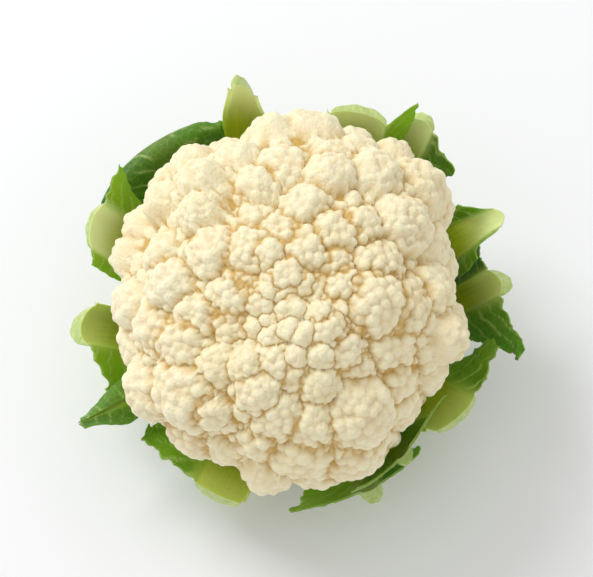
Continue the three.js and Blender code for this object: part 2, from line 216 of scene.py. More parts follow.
def grow_florets():
    """Balls in the golden-angle order: each takes the share of the dome that its radius needs."""
    height, sizes, angles = 1.0, [], []
    while math.acos(height) < LAST_FLORET_ANGLE:
        grown = float(smooth(math.acos(height) / FULL_SIZE_ANGLE))
        size = TIP_FLORET_RADIUS + (SKIRT_FLORET_RADIUS - TIP_FLORET_RADIUS) * grown
        share = FLORET_CROWDING * size**2 / (2 * DOME_BALL_RADIUS**2)
        sizes.append(size)
        angles.append(math.acos(max(height - share / 2, -1)))
        height -= share
    n, size, angle = np.arange(len(sizes)), np.array(sizes), np.array(angles)
    wander = FLORET_WANDER * size / DOME_BALL_RADIUS
    azimuth = n * GOLDEN_ANGLE + wander * (scatter(n + AZIMUTH_DRAW) - 0.5) / np.sin(angle)
    direction = direction_from(growing_tip, angle + wander * (scatter(n) - 0.5), azimuth)
    radius = size * FLORET_OVERLAP * (1 + FLORET_UNEVENNESS * (2 * scatter(n + SIZE_DRAW) - 1))
    top = mounded_reach(direction) - FLORET_SINKING * size * scatter(n + SINKING_DRAW)
    return direction * (top - radius)[:, None], radius


def grow_gap_florets():
    """Small florets that fill the gaps between the others: balls of one size in the golden-angle
    order, which stand out of the core by a set rise."""
    share = FLORET_CROWDING * GAP_FLORET_RADIUS**2 / (2 * DOME_BALL_RADIUS**2)
    height = np.arange(1 - share / 2, math.cos(LAST_FLORET_ANGLE), -share)
    azimuth = np.arange(len(height)) * GOLDEN_ANGLE + FIRST_GAP_AZIMUTH
    direction = direction_from(growing_tip, np.arccos(height), azimuth)
    middle = mounded_reach(direction) - CORE_DEPTH + GAP_FLORET_RISE - GAP_FLORET_RADIUS
    return direction * middle[:, None], np.full(len(height), float(GAP_FLORET_RADIUS))


def grow_branches(centres, radii):
    """Rows of balls from the middle of the seat to each floret of the skirt, thicker further out."""
    skirt = centres[:, 2] < math.cos(SKIRT_ANGLE) * np.linalg.norm(centres, axis=1)
    foot = np.array([0, 0, SEAT_HEIGHT - CURD_CENTRE_HEIGHT])
    along = np.arange(BRANCH_STEPS) / BRANCH_STEPS
    centre = foot + (centres[skirt, None] - foot) * along[:, None]
    radius = BRANCH_FOOT_RADIUS + (radii[skirt, None] * BRANCH_TIP_SHARE - BRANCH_FOOT_RADIUS) * along
    return centre.reshape(-1, 3), radius.ravel()


def ball_grid(cells):
    """A cube's six faces cut into square cells and blown up to a ball: each lattice coordinate
    becomes the tangent of an even angle. Returns unit directions and quads that share corners."""
    i, j = np.meshgrid(np.arange(cells + 1), np.arange(cells + 1), indexing="ij")
    low, high = np.zeros_like(i), np.full_like(i, cells)
    sides = [(high, i, j), (low, j, i), (j, high, i), (i, low, j), (i, j, high), (j, i, low)]
    lattice = np.concatenate([np.stack(side, -1).reshape(-1, 3) for side in sides])
    corners, shared = np.unique(lattice, axis=0, return_inverse=True)
    spread = np.tan((corners / cells - 0.5) * (math.pi / 2))
    first = (i[:-1, :-1] * (cells + 1) + j[:-1, :-1]).ravel()
    quad = np.column_stack([first, first + cells + 1, first + cells + 2, first + 1])
    quads = np.concatenate([quad + side * (cells + 1) ** 2 for side in range(len(sides))])
    return spread / np.linalg.norm(spread, axis=1, keepdims=True), shared.ravel()[quads]


def ball_exits(directions, centres, radii):
    """How far from the curd's centre each ray leaves each ball, the far root of the quadratic for a
    line and a sphere, or -1 where it misses."""
    along = (directions * centres).sum(-1)
    inside = radii**2 - (centres**2).sum(-1) + along**2
    return np.where(inside > 0, along + np.sqrt(np.maximum(inside, 0)), -1)


def outward_from(centres):
    """The unit vectors from the curd's centre to each floret."""
    return centres / np.linalg.norm(centres, axis=1, keepdims=True)


def knobs_on(centres, radii):
    """Knobs on each floret, in a golden-angle spiral round its outward axis, as many as cover it:
    centres and radii with one row a floret, and no radius past its last knob. Large knobs stand out
    more than small ones, those at the rim more than those on top, and the knobs swell together over
    each of the floret's lobes, which lie in a wider spiral, by a paraboloid round the lobe."""
    number = np.arange(len(radii))[:, None]
    radii = radii[:, None]
    around = [vector[:, None] for vector in frame_round(outward_from(centres))]

    knob = np.arange(MOST_KNOBS_ON_A_FLORET)
    wanted = np.minimum(KNOB_CROWDING * (radii / KNOB_SPACING) ** 2, MOST_KNOBS_ON_A_FLORET)
    spacing = radii * np.sqrt(KNOB_CROWDING / wanted)
    share = (knob + 0.5) / wanted
    steps = KNOB_WANDER_DRAW_STEPS
    wander = KNOB_WANDER * spacing / radii * (scatter(number * steps[0] + knob * steps[1]) - 0.5)
    angle = spiral_angle(share, LAST_KNOB_ANGLE) + wander
    direction = direction_from(around, angle, knob * GOLDEN_ANGLE + number)

    lobe = np.arange(MOST_LOBES_ON_A_FLORET)
    wanted_lobes = np.minimum(KNOB_CROWDING * (radii / LOBE_SPACING) ** 2, MOST_LOBES_ON_A_FLORET)
    lobe_share = (lobe + 0.5) / wanted_lobes
    lobe_angle = spiral_angle(lobe_share, LAST_KNOB_ANGLE)
    lobes = direction_from(around, lobe_angle, lobe * GOLDEN_ANGLE + LOBE_TURN * number)
    lobes = lobes * (lobe_share < 1)[..., None]
    off_lobe = np.arccos(np.clip((direction @ np.swapaxes(lobes, 1, 2)).max(-1), -1, 1))
    off_lobe = off_lobe * np.sqrt(wanted_lobes / KNOB_CROWDING)

    steps = KNOB_SIZE_DRAW_STEPS
    draw = scatter(number * steps[0] + knob * steps[1] + KNOB_SIZE_DRAW)
    radius = spacing * (LEAST_KNOB_SHARE + (MOST_KNOB_SHARE - LEAST_KNOB_SHARE) * draw)
    lift = KNOB_LIFT * (radius - spacing * MOST_KNOB_SHARE)
    lift = lift + LOBE_RELIEF * (0.5 - np.minimum(off_lobe**2, 1))
    top = radii * (1 + KNOB_RIM_RISE * smooth(angle / LAST_KNOB_ANGLE)) + lift
    return centres[:, None] + direction * (top - radius)[..., None], np.where(share < 1, radius, 0)


def relaxed(points, shade, quads):
    """The surface and its shade with the steep flanks evened out: in each pass a point goes towards
    the mean of its neighbours, by a share that grows with how far apart the points lie round it."""
    start, end = quads.ravel(), np.roll(quads, -1, axis=1).ravel()
    neighbours = np.bincount(start)
    span = np.bincount(start, np.linalg.norm(points[end] - points[start], axis=1)) / neighbours
    for _ in range(SPAN_BLUR_PASSES):
        span = (1 - SPAN_BLUR) * span + SPAN_BLUR * np.bincount(start, span[end]) / neighbours
    share = RELAXING * smooth((span - EVEN_SPAN) / (STEEP_SPAN - EVEN_SPAN))
    values = np.column_stack([points, shade])
    for _ in range(RELAXING_PASSES):
        mean = np.stack([np.bincount(start, column[end]) / neighbours for column in values.T], 1)
        values = values + (mean - values) * share[:, None]
    return values[:, :3], values[:, 3]


def curd_surface():
    """Each direction of the ball grid, gathered towards the growing tip, goes out to the last of the
    florets' bodies and knobs, or to the core. Creases between florets sink by a smooth step, and
    those between a floret's knobs are filled, by a quarter of the fillet times the square of how
    nearly two knobs meet. Returns points, quads and the painted crease shade of each point, which
    grows with how deep in a crease it lies and is full where the bare core shows."""
    grid, quads = ball_grid(CUBE_CELLS)
    angle = np.arccos(np.clip(grid[:, 2], -1, 1))
    gathered = angle - CORNER_GATHERING * np.sin(angle)
    directions = direction_from(growing_tip, gathered, np.arctan2(grid[:, 1], grid[:, 0]))
    centres, radii = grow_florets()
    branch_centres, branch_radii = grow_branches(centres, radii)
    main = len(radii)
    gap_centres, gap_radii = grow_gap_florets()
    centres, radii = np.concatenate([centres, gap_centres]), np.concatenate([radii, gap_radii])
    knob_centres, knob_radii = knobs_on(centres, radii)
    ball_centres = np.concatenate([centres[:, None], knob_centres], 1)
    ball_radii = np.concatenate([radii[:, None] - KNOB_CREASE_DEPTH, knob_radii], 1)
    axes = outward_from(centres)

    count = len(directions)
    last, before, second, depth = np.empty((4, count))
    floret = np.empty(count, int)
    for chunk in np.array_split(np.arange(count), RAY_CHUNKS):
        rays = directions[chunk]
        row = np.arange(len(chunk))
        away = -(rays @ axes.T)
        near = np.argpartition(away[:, :main], NEAR_FLORETS, axis=1)[:, :NEAR_FLORETS]
        in_gaps = np.argpartition(away[:, main:], NEAR_GAP_FLORETS, axis=1)[:, :NEAR_GAP_FLORETS]
        outermost = ball_exits(rays[:, None], centres[near], radii[near] * (1 + KNOB_RIM_RISE))
        rivals = np.argpartition(-outermost, RIVAL_FLORETS, axis=1)[:, :RIVAL_FLORETS]
        near = np.concatenate([np.take_along_axis(near, rivals, 1), main + in_gaps], 1)
        exits = ball_exits(rays[:, None, None], ball_centres[near], ball_radii[near])
        reach = exits.max(2)
        order = np.argsort(reach, axis=1)
        first = order[:, -1]
        last[chunk], floret[chunk] = reach[row, first], near[row, first]
        second[chunk] = np.partition(exits[row, first], -2, axis=1)[:, -2]
        branch = ball_exits(rays[:, None], branch_centres, branch_radii).max(1)
        before[chunk] = np.maximum(reach[row, order[:, -2]], branch)
        from_middle = np.linalg.norm(rays * last[chunk][:, None] - centres[floret[chunk]], axis=1)
        depth[chunk] = radii[floret[chunk]] - from_middle
    core = mounded_reach(directions) - CORE_DEPTH
    bare = np.maximum(core, before) > last
    cored = bare & (core >= before)
    before = np.maximum(before, core)
    before, last = np.minimum(before, last), np.maximum(before, last)

    size = radii[floret] / SKIRT_FLORET_RADIUS
    crease = 1 - smooth((last - before) / (CREASE_WIDTH * size))
    closeness = np.maximum(1 - (last - second) / KNOB_FILLET, 0) * ~bare
    filled = KNOB_FILLET / 4 * closeness**2
    points = directions * (last - CREASE_DEPTH * size * crease + filled)[:, None]
    # Painted shade: the creases between florets, the hollows between knobs and the bare core get a darker
    # warm yellow from this value, where the florets shade each other.
    hollow = np.maximum(1 - (last - before) / (CREASE_SHADE_WIDTH * size), 0) ** 2
    hollow = hollow + KNOB_SHADE * smooth(depth / KNOB_CREASE_DEPTH) * ~bare
    hollow = np.where(cored, 1, np.minimum(hollow, 1))
    points, hollow = relaxed(points, hollow, quads)
    points[:, 2] = np.maximum(points[:, 2], SEAT_HEIGHT - CURD_CENTRE_HEIGHT)
    return points + [0, 0, CURD_CENTRE_HEIGHT], quads, hollow


def mesh_object(name, points, faces, cut_faces, materials, **attributes):
    """An object in metres from points in millimetres, which first lean with the plant. Its faces are
    smooth, of the first material, and its cut faces flat, of the last one. Each keyword becomes a
    float attribute on its points."""
    mesh = bpy.data.meshes.new(name)
    mesh.from_pydata((lean(points) * MM).tolist(), [], [*faces, *cut_faces])
    is_cut = np.arange(len(mesh.polygons)) >= len(faces)
    mesh.polygons.foreach_set("use_smooth", ~is_cut)
    mesh.polygons.foreach_set("material_index", is_cut.astype(np.int32))
    for label, values in attributes.items():
        mesh.attributes.new(label, "FLOAT", "POINT").data.foreach_set("value", values.astype(np.float32))
    for material in materials:
        mesh.materials.append(material)
    mesh.update()
    piece = bpy.data.objects.new(name, mesh)
    bpy.context.scene.collection.objects.link(piece)
    return piece


def linear(hex_colour):
    """An sRGB colour such as #f1e6c4 as linear red, green, blue and full opacity."""
    srgb = np.array([int(hex_colour[n : n + 2], 16) for n in (1, 3, 5)]) / 255
    shades = np.where(srgb <= 0.04045, srgb / 12.92, ((srgb + 0.055) / 1.055) ** 2.4)
    return (*shades.tolist(), 1.0)


def add_node(tree, kind, output, inputs=None, **settings):
    """One output of a new node with its settings, and each input either linked to a socket or set
    to a value. A colour mix has its share at input 0, its colours at 6 and 7, and its output at 2."""
    added = tree.nodes.new(kind)
    for name, value in settings.items():
        setattr(added, name, value)
    for socket, value in (inputs or {}).items():
        if isinstance(value, bpy.types.NodeSocket):
            tree.links.new(value, added.inputs[socket])
        else:
            added.inputs[socket].default_value = value
    return added.outputs[output]


def new_material(name, **finish):
    """A material, its node tree and its Principled shader, whose inputs take the values of the
    keywords. A keyword is the input's name with an underscore for each space."""
    material = bpy.data.materials.new(name)
    material.use_nodes = True
    shader = material.node_tree.nodes["Principled BSDF"]
    for label, value in finish.items():
        shader.inputs[label.replace("_", " ")].default_value = value
    return material, material.node_tree, shader


# Cauliflower curd: living white tissue, matt and slightly see-through, with a fine grain of bud
# tips. Light sinks in a little, which warms and softens the creases. The darker warm yellow in the
# creases is painted shade. Real bud tips are about 1 mm apart, and are drawn 1.5 mm apart,
# because finer ones don't show.
curd_flesh, tree, shader = new_material(
    "grown_curd_flesh",
    Roughness=0.62,
    IOR=1.4,
    Subsurface_Weight=0.35,
    Subsurface_Radius=(1.0, 0.72, 0.38),
    Subsurface_Scale=2.2 * MM,
)
BUD_SPACING = 1.5 * MM
BUD_HEIGHT = 0.38 * MM
CREAM_CLOUD_SIZE = 36 * MM
place = add_node(tree, "ShaderNodeTexCoord", "Object")
hollow = add_node(tree, "ShaderNodeAttribute", "Fac", attribute_name="hollow")
cloud = add_node(
    tree, "ShaderNodeTexNoise", "Fac", {"Vector": place, "Scale": 1 / CREAM_CLOUD_SIZE, "Detail": 3.0}
)
cream = add_node(
    tree, "ShaderNodeMix", 2, {0: cloud, 6: linear("#f6e9c0"), 7: linear("#fbf4d8")}, data_type="RGBA"
)
# Painted shade: the crease shade attribute mixes the cream towards a darker warm yellow in the creases and
# where the bare core shows.
shaded = add_node(tree, "ShaderNodeMix", 2, {0: hollow, 6: cream, 7: linear("#d2ac5e")}, data_type="RGBA")
tree.links.new(shaded, shader.inputs["Base Color"])
off_bud = add_node(tree, "ShaderNodeTexVoronoi", "Distance", {"Vector": place, "Scale": 1 / BUD_SPACING})
bud = add_node(tree, "ShaderNodeMath", 0, {0: off_bud, 1: 2.0}, operation="POWER")
bump = add_node(
    tree,
    "ShaderNodeBump",
    "Normal",
    {"Height": bud, "Strength": 1.0, "Distance": BUD_HEIGHT},
    invert=True,
)
tree.links.new(bump, shader.inputs["Normal"])

curd_points, curd_quads, curd_hollow = curd_surface()
curd = mesh_object("curd_florets", curd_points, curd_quads.tolist(), [], [curd_flesh], hollow=curd_hollow)
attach(curd, "root")
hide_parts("curd")

# The leaves
# Thirteen wrapper leaves, each starting on the stalk a little above the one before it. A knife has
# cut them off round the head, so that what is left of each is a thick juicy midrib, pale and ribbed
# on its outside, with the torn remains of a thin waxy blade on both sides.

# Angles here are in degrees. reach: the cut's place on the bowl, round from below. bend: how far the
# last part turns outwards, from the share of its length at start. rib: the midrib's thickness at the
# cut. stem: half its width there. taper: the share of that width lost at the very end. left and
# right: how far the blade stands out on either side of it. curl: how far the blade's edges roll
# outwards. slant: how much further out the cut is on the left. shift: from its golden-angle place.
# left_cut and right_cut: how much of each blade is torn away at its edge, or how much more is left.
# groove: how deep the midrib's upper face is hollowed. rounding: how far its cut runs back at the
# sides. hug: the share of the bend that the blades don't follow. tone: from dark green to bright.
# pale: how white the midrib's end is. fleshy: how much the midrib differs from the blade.
LEAVES = [
    dict(reach=84, bend=24, start=0.62, rib=6, stem=7, taper=0, left=20, right=22, curl=5, slant=-2,
         shift=9, left_cut=9, right_cut=3, groove=3, rounding=3, hug=0.2, tone=0.1, pale=0.5, fleshy=1),
    dict(reach=88, bend=240, start=0.84, rib=2.5, stem=5, taper=0, left=27, right=25, curl=1, slant=0,
         shift=-9, left_cut=-2, right_cut=9, groove=0, rounding=0, hug=0, tone=0.05, pale=0.3, fleshy=0.1),
    dict(reach=69, bend=-5, start=0.5, rib=6, stem=5, taper=0, left=22, right=30, curl=1, slant=2,
         shift=18, left_cut=0, right_cut=-10, groove=1, rounding=2, hug=0, tone=0.85, pale=0.8, fleshy=1),
    dict(reach=86, bend=14, start=0.62, rib=4, stem=7, taper=0, left=2, right=13, curl=1, slant=-4,
         shift=5, left_cut=0, right_cut=10, groove=2, rounding=4, hug=1, tone=0.15, pale=0.9, fleshy=1),
    dict(reach=74, bend=26, start=0.62, rib=7, stem=9, taper=0, left=20, right=0, curl=3, slant=4,
         shift=-8, left_cut=14, right_cut=0, groove=5, rounding=2, hug=0.3, tone=1, pale=0.4, fleshy=1),
    dict(reach=67, bend=44, start=0.62, rib=6, stem=12, taper=0, left=22, right=2, curl=1, slant=4,
         shift=2, left_cut=-9, right_cut=0, groove=3, rounding=2, hug=0.8, tone=0.4, pale=0.3, fleshy=1),
    dict(reach=103, bend=20, start=0.62, rib=5, stem=9, taper=0.5, left=0, right=0, curl=1, slant=18,
         shift=-1, left_cut=0, right_cut=0, groove=2, rounding=4, hug=0, tone=0.5, pale=0.9, fleshy=1),
    dict(reach=61, bend=34, start=0.6, rib=6, stem=11, taper=0, left=0, right=28, curl=3, slant=2,
         shift=3, left_cut=0, right_cut=-4, groove=1, rounding=0, hug=0.4, tone=0.4, pale=0.25, fleshy=1),
    dict(reach=94, bend=92, start=0.62, rib=7, stem=8, taper=0.4, left=7, right=10, curl=1, slant=-6,
         shift=6, left_cut=12, right_cut=12, groove=2, rounding=4, hug=0.8, tone=0.3, pale=0.8, fleshy=1),
    dict(reach=86, bend=40, start=0.74, rib=3, stem=10, taper=0, left=5, right=13, curl=1, slant=0,
         shift=-1, left_cut=2, right_cut=-4, groove=1, rounding=3, hug=0.3, tone=0.9, pale=1, fleshy=1),
    dict(reach=80, bend=-12, start=0.6, rib=4, stem=4, taper=0, left=25, right=21, curl=0, slant=0,
         shift=11, left_cut=-4, right_cut=0, groove=1, rounding=0, hug=0, tone=0.5, pale=0.6, fleshy=0.5),
    dict(reach=84, bend=10, start=0.62, rib=4, stem=12, taper=0, left=0, right=9, curl=3, slant=0,
         shift=0, left_cut=0, right_cut=-24, groove=3, rounding=1, hug=0, tone=0.9, pale=0.8, fleshy=1),
    dict(reach=92, bend=90, start=0.52, rib=2, stem=2, taper=0, left=11, right=16, curl=3, slant=0,
         shift=-3, left_cut=0, right_cut=0, groove=1, rounding=0, hug=0, tone=0.15, pale=0.3, fleshy=0.3),
]
STALK_RADIUS = 19.5
JOIN_GAP = 0.3
LOWEST_LEAF_TOP = 9
LEAF_CLIMB = 2.2
INNERMOST_LEAF_GAP = -1.5
LEAF_GAP_STEP = 0.5
PATH_OVERRUN = 25
PATH_STEPS = 500

BUTT_THICKNESS = 7.7
BUTT_THINNING = 0.25
BUTT_HALF_WIDTH = 12.5
STEM_FULL_AT = 0.625
TAPER_START = 0.7
POINTED_LEAF = 12
POINT_START = 0.6
POINT_CLOSING = 0.93
HUG_STEEPNESS = 1.5
RIDGE_HEIGHT = 0.3
RIDGE_TURNS = 9.5
RIDGE_WANDER = 0.5
RIDGE_WAVES = 5
RIB_EDGE = 1.25
RIB_EDGE_SHARPNESS = 2.2

BLADE_START = 0.4
BLADE_THICKNESS = 1.0
EDGE_THINNING = 0.35
LEAST_WING = 1.6
WIDE_BLADE = 12
LEAST_BLADE = 5
EDGE_WAVE = 0.1
EDGE_WAVES = 17
EDGE_WAVE_SHIFT = 2
RUFFLE_POWER = 1.5
RUFFLE_LIFT = 0.8
RUFFLE_HEIGHT = 0.14
RUFFLES = 5.5
RUFFLED_WIDTH = 14

VEIN_SPACING = 11
VEIN_SLOPE = 0.9
VEIN_HEIGHT = 0.5
UPPER_VEIN_SHARE = 0.25
VEIN_WIDTH = 0.8
VEIN_NARROWING = 0.6
VEIN_ROOT = 0.125
VEIN_FADING = 0.4
VEIN_WANDER = 0.12
VEIN_WANDER_LENGTH = 6

# A tooth's height is a share of the blade's width, and a tear's depth is in degrees of reach.
COARSE_TOOTH = 0.05
COARSE_TEETH = 23
FINE_TOOTH = 0.03
FINE_TEETH = 61
COARSE_TEAR = 1.6
COARSE_TEAR_WIDTH = 3.1
FINE_TEAR = 0.8
FINE_TEAR_WIDTH = 1.1

# Each wave's draws: what they move on by from leaf to leaf, and from part to part of a leaf.
COARSE_TOOTH_DRAWS = (50, 9)
FINE_TOOTH_DRAWS = (70, 5)
COARSE_TEAR_DRAWS = (60, 0)
FINE_TEAR_DRAWS = (80, 0)
RUFFLE_DRAWS = (30, 3)
VEIN_DRAWS = (90, 3)

LEAF_ROWS = 110
LEAF_COLUMNS = 81
CUT_ROWS = 5


def ripple(x, draws, k, part):
    """A smooth random wave from -1 to 1: heights at whole numbers, joined by smooth steps, with draws
    of its own for each leaf and each part of it."""
    whole = np.floor(x) + draws[0] * k + draws[1] * part
    step = smooth(x - np.floor(x))
    return 2 * (scatter(whole) * (1 - step) + scatter(whole + 1) * step) - 1


def bowl(k, turn):
    """Side view of the bowl that leaf k lies along: a quarter ellipse from the stalk up to the curd's
    widest height, and another over its shoulder. Distance from the axis, and height."""
    inward = len(LEAVES) - 1 - k
    foot = STALK_RADIUS + 2 * JOIN_GAP
    reach = CURD_HALF_LENGTH + INNERMOST_LEAF_GAP + LEAF_GAP_STEP * inward - foot
    drop = CURD_CENTRE_HEIGHT - LOWEST_LEAF_TOP - LEAF_CLIMB * k
    rise = CURD_RISE + INNERMOST_LEAF_GAP + LEAF_GAP_STEP * inward
    depth = np.where(turn < math.pi / 2, drop, rise)
    return foot + reach * np.sin(turn), CURD_CENTRE_HEIGHT - depth * np.cos(turn)


def leaf_path(k, leaf, turn):
    """Side view of leaf k's upper face: the sum of small steps along the bowl, each turned away from
    the curd by more than the last. Returns points, and the angle of the way out of the upper face."""
    turns = np.linspace(0, math.radians(leaf["reach"] + PATH_OVERRUN), PATH_STEPS)
    out, up = bowl(k, turns)
    middle = (turns[1:] + turns[:-1]) / 2
    past_start = middle / math.radians(leaf["reach"]) - leaf["start"]
    bent = -math.radians(leaf["bend"]) * np.maximum(past_start / (1 - leaf["start"]), 0)
    step_out, step_up = np.diff(out), np.diff(up)
    turned_out = step_out * np.cos(bent) - step_up * np.sin(bent)
    turned_up = step_out * np.sin(bent) + step_up * np.cos(bent)
    path_out = out[0] + np.concatenate([[0], np.cumsum(turned_out)])
    path_up = up[0] + np.concatenate([[0], np.cumsum(turned_up)])
    heading = np.unwrap(np.arctan2(turned_up, turned_out))
    facing = np.interp(turn, middle, heading) - math.pi / 2
    return np.interp(turn, turns, path_out), np.interp(turn, turns, path_up), facing


def leaf_veins(k, forward, outward, is_left, beyond, spread):
    """How much of a vein each point of leaf k's blades holds, from 0 to 1, from how far forward from
    the butt it lies and how far out of the midrib: bell curves across lines that leave the midrib at
    even steps, by turns left and right, slope forward and wander."""
    row = (forward - outward * VEIN_SLOPE) / VEIN_SPACING + 0.5 * is_left
    row = row + VEIN_WANDER * ripple(outward / VEIN_WANDER_LENGTH, VEIN_DRAWS, k, np.floor(row))
    off_vein = np.abs(row - np.round(row)) * VEIN_SPACING
    width = VEIN_WIDTH * (1 - VEIN_NARROWING * beyond)
    fading = smooth(beyond / VEIN_ROOT) * spread * (1 - VEIN_FADING * beyond)
    return np.exp(-((off_vein / width) ** 2)) * fading


def leaf_skins(k, leaf):
    """Leaf k's upper and lower skin, on a grid of rows from butt to cut and columns from edge to edge.
    The midrib lies between -1 and 1 across and the blades reach to -2 and 2. Across, the midrib is a
    half ellipse in thickness with a groove above, and the blades are thin sheets that widen towards
    the cut, roll outwards, wave and carry raised veins. Returns the two skins, and the attributes
    that colour them."""
    rows, columns = np.linspace(0, 1, LEAF_ROWS), np.linspace(-2, 2, LEAF_COLUMNS)
    along, crossing = np.meshgrid(rows, columns, indexing="ij")
    sign = np.sign(crossing)
    within = np.minimum(np.abs(crossing), 1)
    beyond = np.maximum(np.abs(crossing) - 1, 0)
    rounded = np.sqrt(np.maximum(1 - crossing**2, 0))
    side = np.where(crossing < 0, leaf["right"], leaf["left"])
    spread = smooth((along - BLADE_START) / (1 - BLADE_START))
    length = math.radians(leaf["reach"]) * CURD_HALF_LENGTH

    closing = np.ones_like(along)
    if k == POINTED_LEAF:
        closing = 1 - POINT_CLOSING * smooth((along - POINT_START) / (1 - POINT_START))
    stem = BUTT_HALF_WIDTH + (leaf["stem"] - BUTT_HALF_WIDTH) * smooth(along / STEM_FULL_AT)
    stem = stem * closing * (1 - leaf["taper"] * smooth((along - TAPER_START) / (1 - TAPER_START)))
    butt = BUTT_THICKNESS - BUTT_THINNING * k
    rib = (butt + (leaf["rib"] - butt) * along) * np.sqrt(closing)
    wave = 1 + EDGE_WAVE * np.sin(along * EDGE_WAVES + k * EDGE_WAVE_SHIFT + crossing)
    serrated = 1 + COARSE_TOOTH * ripple(along * COARSE_TEETH, COARSE_TOOTH_DRAWS, k, sign)
    serrated = serrated + FINE_TOOTH * ripple(along * FINE_TEETH, FINE_TOOTH_DRAWS, k, sign)
    wing = LEAST_WING + side * spread * wave * serrated * closing
    aside = sign * (within * stem + beyond * wing)

    vein = leaf_veins(k, along * length, beyond * wing, sign > 0, beyond, spread)
    strands = crossing * RIDGE_TURNS + RIDGE_WANDER * np.sin(along * RIDGE_WAVES)
    ridges = RIDGE_HEIGHT * rounded * np.sin(strands)
    blade = BLADE_THICKNESS * (1 - EDGE_THINNING * beyond)
    thickness = blade + (rib - BLADE_THICKNESS) * rounded
    ruffle = RUFFLE_LIFT + ripple(along * RUFFLES, RUFFLE_DRAWS, k, sign)
    ruffle = beyond**RUFFLE_POWER * spread * ruffle * np.minimum(side, RUFFLED_WIDTH) * RUFFLE_HEIGHT
    top = leaf["groove"] * rounded * spread + leaf["curl"] * beyond**2 * spread + ruffle

    ragged = COARSE_TEAR * ripple(aside / COARSE_TEAR_WIDTH, COARSE_TEAR_DRAWS, k, sign)
    ragged = ragged + FINE_TEAR * ripple(aside / FINE_TEAR_WIDTH, FINE_TEAR_DRAWS, k, sign)
    ragged = ragged * np.minimum(side / WIDE_BLADE, 1) * (beyond > 0)
    lost = np.where(crossing < 0, leaf["right_cut"], leaf["left_cut"]) * beyond
    rounding = leaf["rounding"] * within**2
    extra = leaf["slant"] * aside / leaf["stem"] / 2 + (ragged - lost - rounding) * along
    turn = np.radians(leaf["reach"] + extra) * along
    bent = np.stack(leaf_path(k, leaf, turn))
    straight = np.stack(leaf_path(k, {**leaf, "bend": 0}, turn))
    out, up, facing = bent + (straight - bent) * leaf["hug"] * smooth(beyond * HUG_STEEPNESS)
    azimuth = k * GOLDEN_ANGLE + math.radians(leaf["shift"]) + aside / out
    out = out * (1 + swell(azimuth) * np.sin(np.minimum(turn, math.pi / 2)) ** 2)

    def skin(deep):
        """The points that lie a depth out of the upper face, one after another."""
        radius, height = out + np.cos(facing) * deep, up + np.sin(facing) * deep
        return np.stack([radius * np.cos(azimuth), radius * np.sin(azimuth), height], -1).reshape(-1, 3)

    upper = skin(top + UPPER_VEIN_SHARE * VEIN_HEIGHT * vein)
    lower = skin(top + thickness + VEIN_HEIGHT * vein + ridges)
    flesh_width = smooth((RIB_EDGE - np.abs(crossing)) * RIB_EDGE_SHARPNESS)
    fleshy = leaf["fleshy"] * np.where(side < LEAST_BLADE, 1, flesh_width)
    return upper, lower, dict(across=aside, length=along * length, rib=fleshy, vein=vein, along=along)


def leaf_faces():
    """The quads of the two skins and of the strips that join them along both edges."""
    first = (np.arange(LEAF_ROWS - 1)[:, None] * LEAF_COLUMNS + np.arange(LEAF_COLUMNS - 1)).ravel()
    quad = np.column_stack([first, first + LEAF_COLUMNS, first + LEAF_COLUMNS + 1, first + 1])
    below = LEAF_ROWS * LEAF_COLUMNS
    near = np.arange(LEAF_ROWS - 1) * LEAF_COLUMNS
    far = near + LEAF_COLUMNS - 1
    near_strip = np.column_stack([near + below, near + below + LEAF_COLUMNS, near + LEAF_COLUMNS, near])
    far_strip = np.column_stack([far, far + LEAF_COLUMNS, far + LEAF_COLUMNS + below, far + below])
    return np.concatenate([quad, quad[:, ::-1] + below, near_strip, far_strip])


def cut_end(upper, lower, row, first_point):
    """The cut face in one row of the grid: rungs between the two skins, with quads between the rungs
    and a fan at each edge, where the rungs stop short. Returns the rungs' points, quads and fans."""
    top_row = row * LEAF_COLUMNS + np.arange(LEAF_COLUMNS)
    share = np.arange(1, CUT_ROWS)[:, None, None] / CUT_ROWS
    points = (upper[top_row] * (1 - share) + lower[top_row] * share)[:, 1:-1].reshape(-1, 3)
    ladder = np.zeros((CUT_ROWS + 1, LEAF_COLUMNS), int)
    ladder[0], ladder[-1] = top_row, top_row + LEAF_ROWS * LEAF_COLUMNS
    ladder[1:-1, 1:-1] = first_point + np.arange(len(points)).reshape(CUT_ROWS - 1, -1)
    corners = [ladder[:-1, :-1], ladder[:-1, 1:], ladder[1:, 1:], ladder[1:, :-1]]
    quads = np.stack(corners, -1)[:, 1:-1].reshape(-1, 4)
    left = np.array([ladder[0, 0], *ladder[:, 1], ladder[-1, 0]])
    right = np.array([ladder[0, -1], *ladder[:, -2], ladder[-1, -1]])
    if row == 0:
        return points, quads, [left[::-1], right]
    return points, quads[:, ::-1], [left, right[::-1]]


def leaf_surface(k, leaf):
    """Leaf k as a closed skin: two skins joined along their edges and closed by a cut at both ends.
    Returns points, quads, the faces of the cuts, and the attributes that colour it."""
    upper, lower, traits = leaf_skins(k, leaf)
    skins = np.concatenate([upper, lower])
    butt_points, butt_quads, butt_fans = cut_end(upper, lower, 0, len(skins))
    end_start = len(skins) + len(butt_points)
    end_points, end_quads, end_fans = cut_end(upper, lower, LEAF_ROWS - 1, end_start)
    points = np.concatenate([skins, butt_points, end_points])
    cut_faces = [*butt_quads.tolist(), *end_quads.tolist()]
    cut_faces += [fan.tolist() for fan in butt_fans + end_fans]
    on_cuts = np.zeros(len(points) - len(skins))
    flesh_on_cuts = np.tile(traits["rib"][-1, 1:-1], 2 * (CUT_ROWS - 1))
    attributes = {
        name: np.concatenate([values.ravel(), values.ravel(), flesh_on_cuts if name == "rib" else on_cuts])
        for name, values in traits.items()
    }
    attributes["outer"] = np.concatenate([np.zeros(len(upper)), np.ones(len(lower)), on_cuts])
    attributes["tone"] = np.full(len(points), leaf["tone"])
    attributes["pale"] = np.full(len(points), leaf["pale"])
    return points, leaf_faces().tolist(), cut_faces, attributes


